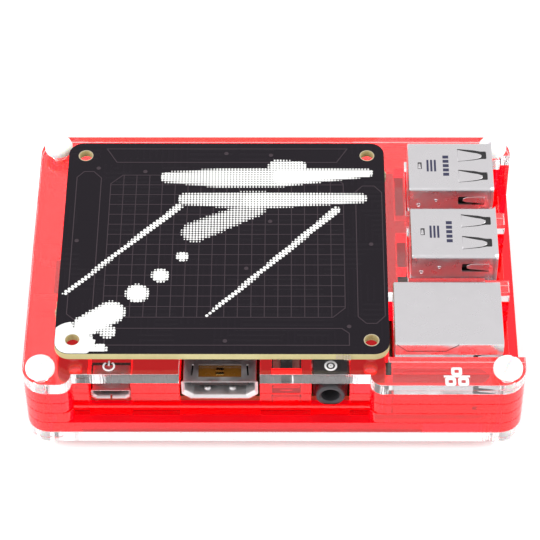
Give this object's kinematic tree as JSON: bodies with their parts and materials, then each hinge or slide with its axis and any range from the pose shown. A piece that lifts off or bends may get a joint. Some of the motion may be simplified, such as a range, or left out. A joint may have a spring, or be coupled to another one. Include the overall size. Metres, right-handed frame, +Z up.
{
  "type": "single board computer",
  "caption": "Credit-card sized computer board in a slim stacked-plate case, with network, USB, video, power and sound sockets and a square sensing board plugged on its pin header.",
  "frame": {"origin": "centre of the case's outline, level with the undersides of the four corner nuts", "axes": "+X along the case towards the network and USB sockets, +Y towards the pin header, +Z up out of the top plate"},
  "size_m": [0.0976, 0.066, 0.027],
  "materials": {
    "clear_acrylic": "clear cast acrylic sheet, laser-cut edges",
    "red_acrylic": "translucent red acrylic sheet, laser-cut edges",
    "white_nylon": "natural white nylon",
    "green_board": "green solder mask on glass-fibre board",
    "black_board": "satin black solder mask with white print",
    "black_plastic": "moulded, satin",
    "cream_plastic": "moulded, satin",
    "plated_steel": "folded sheet, dull tin plating",
    "gold_contact": "gold flash",
    "lamp_lens": "clear tinted lens",
    "ceramic": "fired ceramic with tinned ends"
  },
  "bodies": {
    "case_and_board": {"base_plate": "clear_acrylic", "case_layer_1": "red_acrylic", "case_layer_2": "red_acrylic", "case_layer_3": "red_acrylic", "case_layer_4": "red_acrylic", "top_plate": "clear_acrylic", "corner_bolts": "white_nylon", "corner_nuts": "white_nylon", "main_board": "green_board", "gpio_base": "black_plastic", "gpio_pins": "gold_contact", "processor": "black_plastic", "memory_chip": "black_plastic", "usb_network_chip": "black_plastic", "crystals": "plated_steel", "chokes": "black_plastic", "status_lamps": "lamp_lens", "small_capacitors": "ceramic", "small_resistors": "ceramic", "usb_front_shell": "plated_steel", "usb_front_insulator": "cream_plastic", "usb_front_contacts": "gold_contact", "usb_back_shell": "plated_steel", "usb_back_insulator": "cream_plastic", "usb_back_contacts": "gold_contact", "network_shell": "plated_steel", "network_insulator": "black_plastic", "network_lamps": "lamp_lens", "network_contacts": "gold_contact", "video_shell": "plated_steel", "video_insulator": "black_plastic", "video_contacts": "gold_contact", "power_shell": "plated_steel", "power_insulator": "black_plastic", "power_contacts": "gold_contact", "audio_body": "black_plastic", "audio_clips": "gold_contact", "camera_connector": "cream_plastic", "camera_contacts": "gold_contact", "display_connector": "cream_plastic", "display_contacts": "gold_contact", "card_bed": "black_plastic", "card_slot_shell": "plated_steel", "card_slot_contacts": "gold_contact", "solder_legs": "plated_steel"},
    "addon": {"addon_board": "black_board", "addon_header": "black_plastic", "addon_header_contacts": "gold_contact", "sensing_chip": "black_plastic", "addon_small_parts": "ceramic"},
    "card": {"memory_card": "black_plastic"},
    "camera_flap": {"camera_latch": "black_plastic"},
    "display_flap": {"display_latch": "black_plastic"}
  },
  "joints": [
    {"name": "addon_lift", "type": "slide", "parent": "case_and_board", "child": "addon", "axis": [0, 0, 1], "range_m": [0, 0.012]},
    {"name": "card_pull", "type": "slide", "parent": "case_and_board", "child": "card", "axis": [-1, 0, 0], "range_m": [-0.0005, 0.012]},
    {"name": "camera_latch_lift", "type": "slide", "parent": "case_and_board", "child": "camera_flap", "axis": [0, 0, 1], "range_m": [0, 0.001]},
    {"name": "display_latch_lift", "type": "slide", "parent": "case_and_board", "child": "display_flap", "axis": [0, 0, 1], "range_m": [0, 0.001]}
  ]
}
